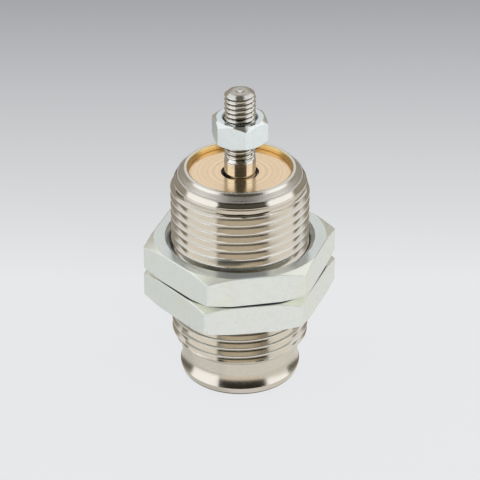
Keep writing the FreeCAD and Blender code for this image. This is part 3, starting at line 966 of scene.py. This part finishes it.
def zinc_plate(name, light, dark, metallic, gloss, face, face_metal, bevel_highlight, face_mm, mouth_mm):
    """Zinc on a nut whose flat face ends at face_mm and whose bore starts at mouth_mm."""
    finish, tree, coat = new_finish(name, metallic)
    place, axis_distance, height = object_place(tree)
    grain = speckle(tree, place, 0.6)
    crystals = ease(tree, speckle(tree, place, 0.16), 0.3, 0.7, 0.0, 0.08)
    specks = ease(tree, speckle(tree, place, 0.45), 0.68, 0.76, 0.0, 0.25)
    cast = ease(tree, speckle(tree, place, 5.0), 0.52, 0.75, 0.0, 0.35)
    plate = blend_colour(tree, ease(tree, grain, 0.4, 0.75), light, dark)
    tinted = blend_colour(tree, cast, plate, ZINC_YELLOW)
    flat_skin = blend_colour(tree, calc(tree, "ADD", crystals, specks), tinted, ZINC_SPECK_AND_SHADE)

    # Turned faces and chamfers, the chamfers painted paler as a painted highlight
    on_face = add_node(tree, "ShaderNodeAttribute", attribute_name="turned").outputs["Fac"]
    on_bevel = zone(tree, axis_distance, face_mm - 0.08, face_mm)
    skin = blend_colour(tree, on_face, flat_skin, blend_colour(tree, on_bevel, face, bevel_highlight))
    metal = calc(tree, "MULTIPLY_ADD", on_face, face_metal - metallic, metallic)
    plug(tree, metal, coat["Metallic"])

    # Painted shade: the bore is painted dark, and so are the faces that the two lock nuts turn to each
    # other
    shaded_bore = zone(tree, axis_distance, BORE_START * mouth_mm, BORE_END * mouth_mm)
    off_gap = calc(tree, "ABSOLUTE", calc(tree, "SUBTRACT", height, NUT_GAP))
    painted_shade = calc(tree, "MAXIMUM", shaded_bore, zone(tree, off_gap, *GAP_SHADE_REACH))
    plug(tree, blend_colour(tree, painted_shade, skin, ZINC_SPECK_AND_SHADE), coat["Base Color"])
    plug(tree, ease(tree, grain, 0.3, 0.7, *gloss), coat["Roughness"])
    relief(tree, coat, grain, ZINC_RELIEF)
    return finish


print("Lock nuts meet at", round(NUT_GAP / MM, 2), "mm")

# %% [markdown]
# Both lock nuts are the same part, turned a little differently where they were tightened. Their bores
# carry the barrel's own thread with a little play, started at the same crest, so the two threads lie in
# each other.

# %% Lock nuts
NUT_PLAY = 0.05
LOCK_FLATS = 27
LOCK_CORNER = 0.25
LOCK_FACE = 13.8
LOCK_SLOPE = 20
LOCK_MOUTH = 12
LOCK_TURNS = {"lower_lock_nut": math.radians(8.97), "upper_lock_nut": math.radians(10.93)}

satin_zinc = zinc_plate(
    "satin_zinc", ZINC, ZINC_GREY, metallic=0.5, gloss=(0.18, 0.25), face=TURNED_ZINC, face_metal=0.65,
    bevel_highlight=ZINC_BEVEL_HIGHLIGHT, face_mm=LOCK_FACE, mouth_mm=LOCK_MOUTH,
)
for node, turn in LOCK_TURNS.items():
    bottom, top = (corner.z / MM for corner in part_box(node))
    columns = hexagon_columns(LOCK_FLATS, LOCK_CORNER, turn)
    nut = hexagon_nut(f"{node}_threaded", bottom, top, columns, LOCK_FACE, LOCK_SLOPE, LOCK_MOUTH)
    tap_bore(
        nut, satin_zinc, len(columns), THREAD_ROWS, LOCK_MOUTH, columns[0][0], pitch=THREAD_PITCH,
        major_radius=THREAD_MAJOR + NUT_PLAY, minor_radius=THREAD_MINOR + NUT_PLAY,
        crest_height=CREST_HEIGHT, bottom=bottom, top=top,
    )
    settle(nut)
    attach(nut, node.replace("lock_nut", "nut_body"))
    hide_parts(node)

# %% [markdown]
# The rod is ground stainless steel. Its thread was rolled, so its crests are round and it fades out
# towards the ground length instead of stopping at a groove. Its roots are painted dark, as painted
# shade. The end has a chamfer and the small centre mark that held it on the lathe, and its end face is
# painted darker, as painted shade, with a duller skin. Inside the barrel the rod is riveted over the
# washer.

# %% Ground steel
ROD_RADIUS = 2.5
ROD_MAJOR = 2.45
ROD_MINOR = 1.96
ROD_PITCH = 0.8
ROD_CREST = 0.2
ROD_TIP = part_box("piston_rod")[1].z / MM
ROD_THREAD_LENGTH = 11.7
ROD_THREAD_START = ROD_TIP - ROD_THREAD_LENGTH
ROD_BRIGHT = (0.82, 0.81, 0.77, 1)
ROD_DULL = (0.74, 0.73, 0.69, 1)
# Painted shade in the thread's roots
ROD_ROOT_SHADE = (0.20, 0.19, 0.17, 1)
# Painted shade on the end face
ROD_END_SHADE = (0.56, 0.535, 0.49, 1)


def ground_steel():
    finish, tree, coat = new_finish("rod_steel")
    place, axis_distance, height = object_place(tree)
    grain = speckle(tree, place, 0.4)
    on_thread = zone(tree, height, ROD_THREAD_START, ROD_THREAD_START + 0.3)
    on_end = zone(tree, height, ROD_TIP - 0.14, ROD_TIP - 0.04)
    under_end = zone(tree, height, ROD_TIP - 0.3, ROD_TIP - 0.5)
    sunk = zone(tree, axis_distance, ROD_MINOR + 0.22, ROD_MINOR + 0.04)
    shaded_root = both(tree, sunk, both(tree, on_thread, under_end))
    steel = blend_colour(tree, grain, ROD_BRIGHT, ROD_DULL)
    # Painted shade in the roots and on the end face
    root_shaded = blend_colour(tree, shaded_root, steel, ROD_ROOT_SHADE)
    plug(tree, blend_colour(tree, on_end, root_shaded, ROD_END_SHADE), coat["Base Color"])
    polish = ease(tree, grain, 0.25, 0.75, 0.06, 0.14)
    plug(tree, calc(tree, "MULTIPLY_ADD", on_end, 0.2, polish), coat["Roughness"])
    relief(tree, coat, lathe_marks(tree, axis_distance, height, 0.05), 0.001)
    return finish


rod_steel = ground_steel()
print("Finish", rod_steel.name)

# %% [markdown]
# The rod's outline also comes in two stretches, the long one up to the thread and the tip's end face.
# The thread between them is trimmed by the tip's chamfer.

# %% Rod
ROD_COLUMNS = 96
RIVET_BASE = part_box("piston_rod")[0].z / MM
RIVET_RADIUS = 2.6
RIVET_FACE = 2.35
RIVET_BEVEL = 0.25
RIVET_HEIGHT = 0.6
SPIGOT_RADIUS = 1.7
SPIGOT_END = 4.8
TIP_FLAT = 1.6
TIP_SLOPE = 2.1
MARK_RADIUS = 0.75
MARK_DEPTH = 0.25
ROD_ROUNDING = 0.08

shell = bmesh.new()
sweep_round(shell, rounded([
    (0, RIVET_BASE),
    (RIVET_FACE, RIVET_BASE),
    (RIVET_RADIUS, RIVET_BASE + RIVET_BEVEL),
    (RIVET_RADIUS, RIVET_BASE + RIVET_HEIGHT),
    (SPIGOT_RADIUS, RIVET_BASE + RIVET_HEIGHT),
    (SPIGOT_RADIUS, RIVET_BASE + SPIGOT_END),
    (ROD_RADIUS, RIVET_BASE + SPIGOT_END),
    (ROD_RADIUS, ROD_THREAD_START - 0.2),
    (ROD_MAJOR, ROD_THREAD_START - 0.15),
    (ROD_MAJOR, ROD_THREAD_START),
], ROD_ROUNDING), ROD_COLUMNS)
sweep_round(shell, rounded([
    (TIP_FLAT, ROD_TIP),
    (MARK_RADIUS, ROD_TIP),
    (0, ROD_TIP - MARK_DEPTH),
], ROD_ROUNDING), ROD_COLUMNS)
rod = finished("threaded_rod", shell)
cut_thread(
    rod, rod_steel, ROD_COLUMNS, THREAD_ROWS, pitch=ROD_PITCH, major_radius=ROD_MAJOR,
    minor_radius=ROD_MINOR, crest_height=ROD_CREST, bottom=ROD_THREAD_START, top=ROD_TIP,
    bottom_radius=ROD_MAJOR, bottom_slope=100, top_radius=TIP_FLAT, top_slope=TIP_SLOPE, side=1,
    run_out=0.6, crest_rounding=0.16, root_rounding=0.05,
)
settle(rod)
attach(rod, "rod_body")
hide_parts("piston_rod")

# %% [markdown]
# The rod nut is a smaller nut of the same make with a brighter, bluer plate. The same helpers draw,
# thread and plate it.

# %% Rod nut
ZINC_BLUE = (0.80, 0.87, 0.885, 1)
ZINC_BLUE_GREY = (0.75, 0.825, 0.84, 1)
TURNED_BLUE = (0.70, 0.775, 0.79, 1)
# A paler chamfer colour, as a painted highlight
BLUE_BEVEL_HIGHLIGHT = (0.96, 0.985, 0.99, 1)
ROD_NUT_FLATS = 8
ROD_NUT_CORNER = 0.12
ROD_NUT_FACE = 3.7
ROD_NUT_SLOPE = 30
ROD_NUT_MOUTH = 2.85
ROD_NUT_TURN = math.radians(-18.3)

bright_zinc = zinc_plate(
    "bright_zinc", ZINC_BLUE, ZINC_BLUE_GREY, metallic=0.2, gloss=(0.06, 0.10), face=TURNED_BLUE,
    face_metal=1.0, bevel_highlight=BLUE_BEVEL_HIGHLIGHT, face_mm=ROD_NUT_FACE, mouth_mm=ROD_NUT_MOUTH,
)
bottom, top = (corner.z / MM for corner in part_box("rod_nut"))
columns = hexagon_columns(ROD_NUT_FLATS, ROD_NUT_CORNER, ROD_NUT_TURN)
rod_nut = hexagon_nut(
    "rod_nut_threaded", bottom, top, columns, ROD_NUT_FACE, ROD_NUT_SLOPE, ROD_NUT_MOUTH,
)
tap_bore(
    rod_nut, bright_zinc, len(columns), THREAD_ROWS, ROD_NUT_MOUTH, columns[0][0], pitch=ROD_PITCH,
    major_radius=ROD_MAJOR + NUT_PLAY, minor_radius=ROD_MINOR + NUT_PLAY,
    crest_height=ROD_CREST, bottom=bottom, top=top,
)
settle(rod_nut)
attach(rod_nut, "rod_nut_body")
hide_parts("rod_nut")

# %% [markdown]
# The cap is bare brass, faced on the lathe to a soft mirror: it shows the rod standing in it, blurred
# by the rings that the tool left. Handling left a few stains. The opening round the rod is painted
# black as painted shade, except in front and to the right.

# %% Turned brass
BRASS = (0.93, 0.725, 0.49, 1)
BRASS_DULL = (0.85, 0.655, 0.435, 1)
BRASS_STAIN = (0.60, 0.43, 0.26, 1)
# Painted shade inside the opening
BRASS_OPENING_SHADE = (0.035, 0.028, 0.018, 1)
OPENING_MIDDLE = CAP_FACE - 0.5
OPENING_HALF = (0.49, 0.42)
OPENING_REACH = (3.05, 2.98)
# Where the opening's painted shade fades out, towards the front and the right
OPENING_SHADE_FADE = (-2.0, -0.9)


def faced_brass():
    finish, tree, coat = new_finish("turned_brass")
    place, axis_distance, height = object_place(tree)
    rings = lathe_marks(tree, axis_distance, height, 0.45)
    stains = ease(tree, speckle(tree, place, 0.5), 0.64, 0.74, 0.0, 0.6)
    off_opening = calc(tree, "ABSOLUTE", calc(tree, "SUBTRACT", height, OPENING_MIDDLE * MM))
    at_opening = zone(tree, off_opening, *OPENING_HALF)
    in_opening = both(tree, at_opening, zone(tree, axis_distance, *OPENING_REACH))
    axes = split(tree, place)
    away = calc(tree, "MULTIPLY_ADD", axes["X"], -0.5, axes["Y"])
    # Painted shade in the opening, fading out towards the front and the right
    shaded_opening = both(tree, in_opening, zone(tree, away, *OPENING_SHADE_FADE))
    faced = blend_colour(tree, ease(tree, rings, 0.3, 0.7), BRASS, BRASS_DULL)
    stained = blend_colour(tree, stains, faced, BRASS_STAIN)
    plug(tree, blend_colour(tree, shaded_opening, stained, BRASS_OPENING_SHADE), coat["Base Color"])
    plug(tree, ease(tree, rings, 0.3, 0.7, 0.15, 0.24), coat["Roughness"])
    relief(tree, coat, lathe_marks(tree, axis_distance, height, 0.12), 0.002)
    return finish


turned_brass = faced_brass()
print("Finish", turned_brass.name)

# %% [markdown]
# The cap is a disc with a boss that holds the guide bush. Its outline closes on itself, so the last
# point repeats the first, and the sweep needs no poles. It starts in the middle of the boss's end,
# where a seam doesn't show.

# %% Front cap
BOSS_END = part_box("front_cap")[0].z / MM
BUSH_TOP = CAP_FACE - 2
BUSH_SEAT = 3.5
BOSS_RADIUS = 4.7
CAP_RADIUS = 8.47
OPENING_MOUTH = 3.0
OPENING_RADIUS = 2.9
OPENING_BEVEL = 0.1
OPENING_WALL = 0.35
OPENING_FLOOR = 0.4
ROD_HOLE = 2.62
CAP_ROUNDING = 0.06

cap_start = ((BUSH_SEAT + BOSS_RADIUS) / 2, BOSS_END)
cap_outline = rounded([
    cap_start,
    (BOSS_RADIUS, BOSS_END),
    (BOSS_RADIUS, CAP_SEAT),
    (CAP_RADIUS, CAP_SEAT),
    (CAP_RADIUS, CAP_FACE),
    (OPENING_MOUTH, CAP_FACE),
    (OPENING_RADIUS, CAP_FACE - OPENING_BEVEL),
    (OPENING_RADIUS, CAP_FACE - OPENING_WALL),
    (ROD_HOLE, CAP_FACE - OPENING_FLOOR),
    (ROD_HOLE, BUSH_TOP),
    (BUSH_SEAT, BUSH_TOP),
    (BUSH_SEAT, BOSS_END),
    cap_start,
], CAP_ROUNDING)
shell = bmesh.new()
sweep_round(shell, cap_outline, COLUMNS)
cap = finished("brass_cap", shell)
cap.data.materials.append(turned_brass)
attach(cap, "barrel_body")
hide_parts("front_cap")
print("Cap outline:", len(cap_outline), "points")

# %% [markdown]
# Inside, a coil spring pushes the piston back. It is drawn wire with one closed turn at each end,
# ground flat there. Its rule is a helix that climbs slowly, then fast, then slowly. The tree bends a
# line along that rule, gives it a round section, and flattens what would stand past either end, as the
# grinding wheel does.

# %% The spring as a node tree
def spring_tree():
    sizes = ("Wire", "Coil Radius", "Bottom", "Top", "Closed Rise")
    tree, given = new_tree("coil_spring", sizes, ("Active Turns", "Steps", "Sides"))
    bottom, top, closed_rise = given["Bottom"], given["Top"], given["Closed Rise"]

    # Turns from the start of the wire, and the height reached there
    line = add_node(tree, "GeometryNodeCurvePrimitiveLine").outputs[0]
    stepped = add_node(tree, "GeometryNodeResampleCurve", {"Curve": line, "Count": given["Steps"]})
    share = add_node(tree, "GeometryNodeSplineParameter").outputs["Factor"]
    active = given["Active Turns"]
    turn = calc(tree, "MULTIPLY", share, calc(tree, "ADD", active, 2.0))
    past_closed = calc(tree, "SUBTRACT", turn, 1.0)
    wound_active = calc(tree, "MAXIMUM", calc(tree, "MINIMUM", past_closed, active), 0.0)
    wound_closed = calc(tree, "SUBTRACT", turn, wound_active)
    free = calc(tree, "SUBTRACT", top, bottom)
    active_rise = calc(tree, "DIVIDE", calc(tree, "MULTIPLY_ADD", closed_rise, -2.0, free), active)
    climbed = calc(tree, "MULTIPLY_ADD", wound_closed, closed_rise, bottom)
    height = calc(tree, "MULTIPLY_ADD", wound_active, active_rise, climbed)

    # The bent wire with its round section
    bent = moved(tree, stepped.outputs[0], round_axis(tree, given["Coil Radius"], turn, height))
    wire_radius = calc(tree, "MULTIPLY", given["Wire"], 0.5)
    circle = {"Resolution": given["Sides"], "Radius": wire_radius}
    section = add_node(tree, "GeometryNodeCurvePrimitiveCircle", circle).outputs[0]
    rail = {"Curve": bent, "Profile Curve": section, "Fill Caps": True}
    wire = add_node(tree, "GeometryNodeCurveToMesh", rail).outputs[0]

    # Ground ends
    reached = split(tree, add_node(tree, "GeometryNodeInputPosition").outputs[0])
    kept = calc(tree, "MAXIMUM", calc(tree, "MINIMUM", reached["Z"], top), bottom)
    ground = moved(tree, wire, join(tree, reached["X"], reached["Y"], kept))
    smooth = add_node(tree, "GeometryNodeSetShadeSmooth", {"Geometry": ground}).outputs[0]
    close_tree(tree, smooth, given["Finish"])
    return tree


SPRING = spring_tree()
print("Spring tree:", len(SPRING.nodes), "nodes")


# %% [markdown]
# Drawn wire has a dull skin, a little uneven. It needs no zones, and neither do the other pieces inside,
# so one helper makes all these finishes from two close colours, a range of gloss and a fine relief.

# %% Helper for plain finishes
def plain_finish(name, light, dark, grain_mm, gloss, depth_mm, marks_mm=None, metallic=1.0):
    """A finish of two close colours in grains, with uneven gloss and a fine relief."""
    finish, tree, coat = new_finish(name, metallic)
    place, axis_distance, height = object_place(tree)
    grain = speckle(tree, place, grain_mm)
    plug(tree, blend_colour(tree, ease(tree, grain, 0.35, 0.65), light, dark), coat["Base Color"])
    plug(tree, ease(tree, grain, 0.35, 0.65, *gloss), coat["Roughness"])
    surface = grain if marks_mm is None else lathe_marks(tree, axis_distance, height, marks_mm)
    relief(tree, coat, surface, depth_mm)
    return finish


# %% [markdown]
# The spring stands between the piston and the cap, round the cap's boss.

# %% Return spring
WIRE = 0.9
COIL_RADIUS = 5.5
COIL_PLAY = 0.05

spring_low, spring_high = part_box("return_spring")
spring_steel = plain_finish(
    "spring_steel", (0.60, 0.61, 0.62, 1), (0.46, 0.47, 0.48, 1), 0.3, (0.22, 0.36), 0.002,
)
spring = bpy.data.objects.new("coiled_spring", bpy.data.meshes.new("coiled_spring"))
bpy.context.scene.collection.objects.link(spring)
apply_tree(spring, SPRING, {
    "Wire": WIRE * MM, "Coil Radius": COIL_RADIUS * MM, "Bottom": spring_low.z, "Top": spring_high.z,
    "Closed Rise": (WIRE + COIL_PLAY) * MM, "Active Turns": 4, "Steps": 289, "Sides": 16,
    "Finish": spring_steel,
})
settle(spring)
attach(spring, "barrel_body")
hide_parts("return_spring")
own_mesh(spring)

# %% [markdown]
# The rest of the inside keeps its CAD shape: a sintered bronze bush that guides the rod, an aluminium
# piston with its rubber cup and brass washer, and two rubber bumpers. Each still gets the finish that
# its making leaves, so that a cut-open view looks right: sponge-like pores in the bronze, turning
# marks, a dull bloom on the rubber.

# %% Finishes of the hidden pieces
bearing_bronze = plain_finish(
    "bearing_bronze", (0.62, 0.44, 0.26, 1), (0.36, 0.24, 0.13, 1), 0.12, (0.38, 0.55), 0.012,
)
seal_rubber = plain_finish(
    "seal_rubber", (0.045, 0.045, 0.046, 1), (0.022, 0.022, 0.023, 1), 0.3, (0.45, 0.68), 0.006,
    metallic=0.0,
)
piston_alloy = plain_finish(
    "piston_alloy", (0.82, 0.82, 0.82, 1), (0.72, 0.72, 0.73, 1), 0.5, (0.22, 0.34), 0.003, marks_mm=0.1,
)
HIDDEN_FINISHES = {
    "rod_guide_bush": bearing_bronze,
    "front_bumper": seal_rubber,
    "rear_bumper": seal_rubber,
    "piston_cup_seal": seal_rubber,
    "piston_head": piston_alloy,
    "cup_backing_washer": turned_brass,
}
for node, finish in HIDDEN_FINISHES.items():
    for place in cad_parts[node].material_slots:
        place.material = finish
print("Hidden pieces:", ", ".join(HIDDEN_FINISHES))
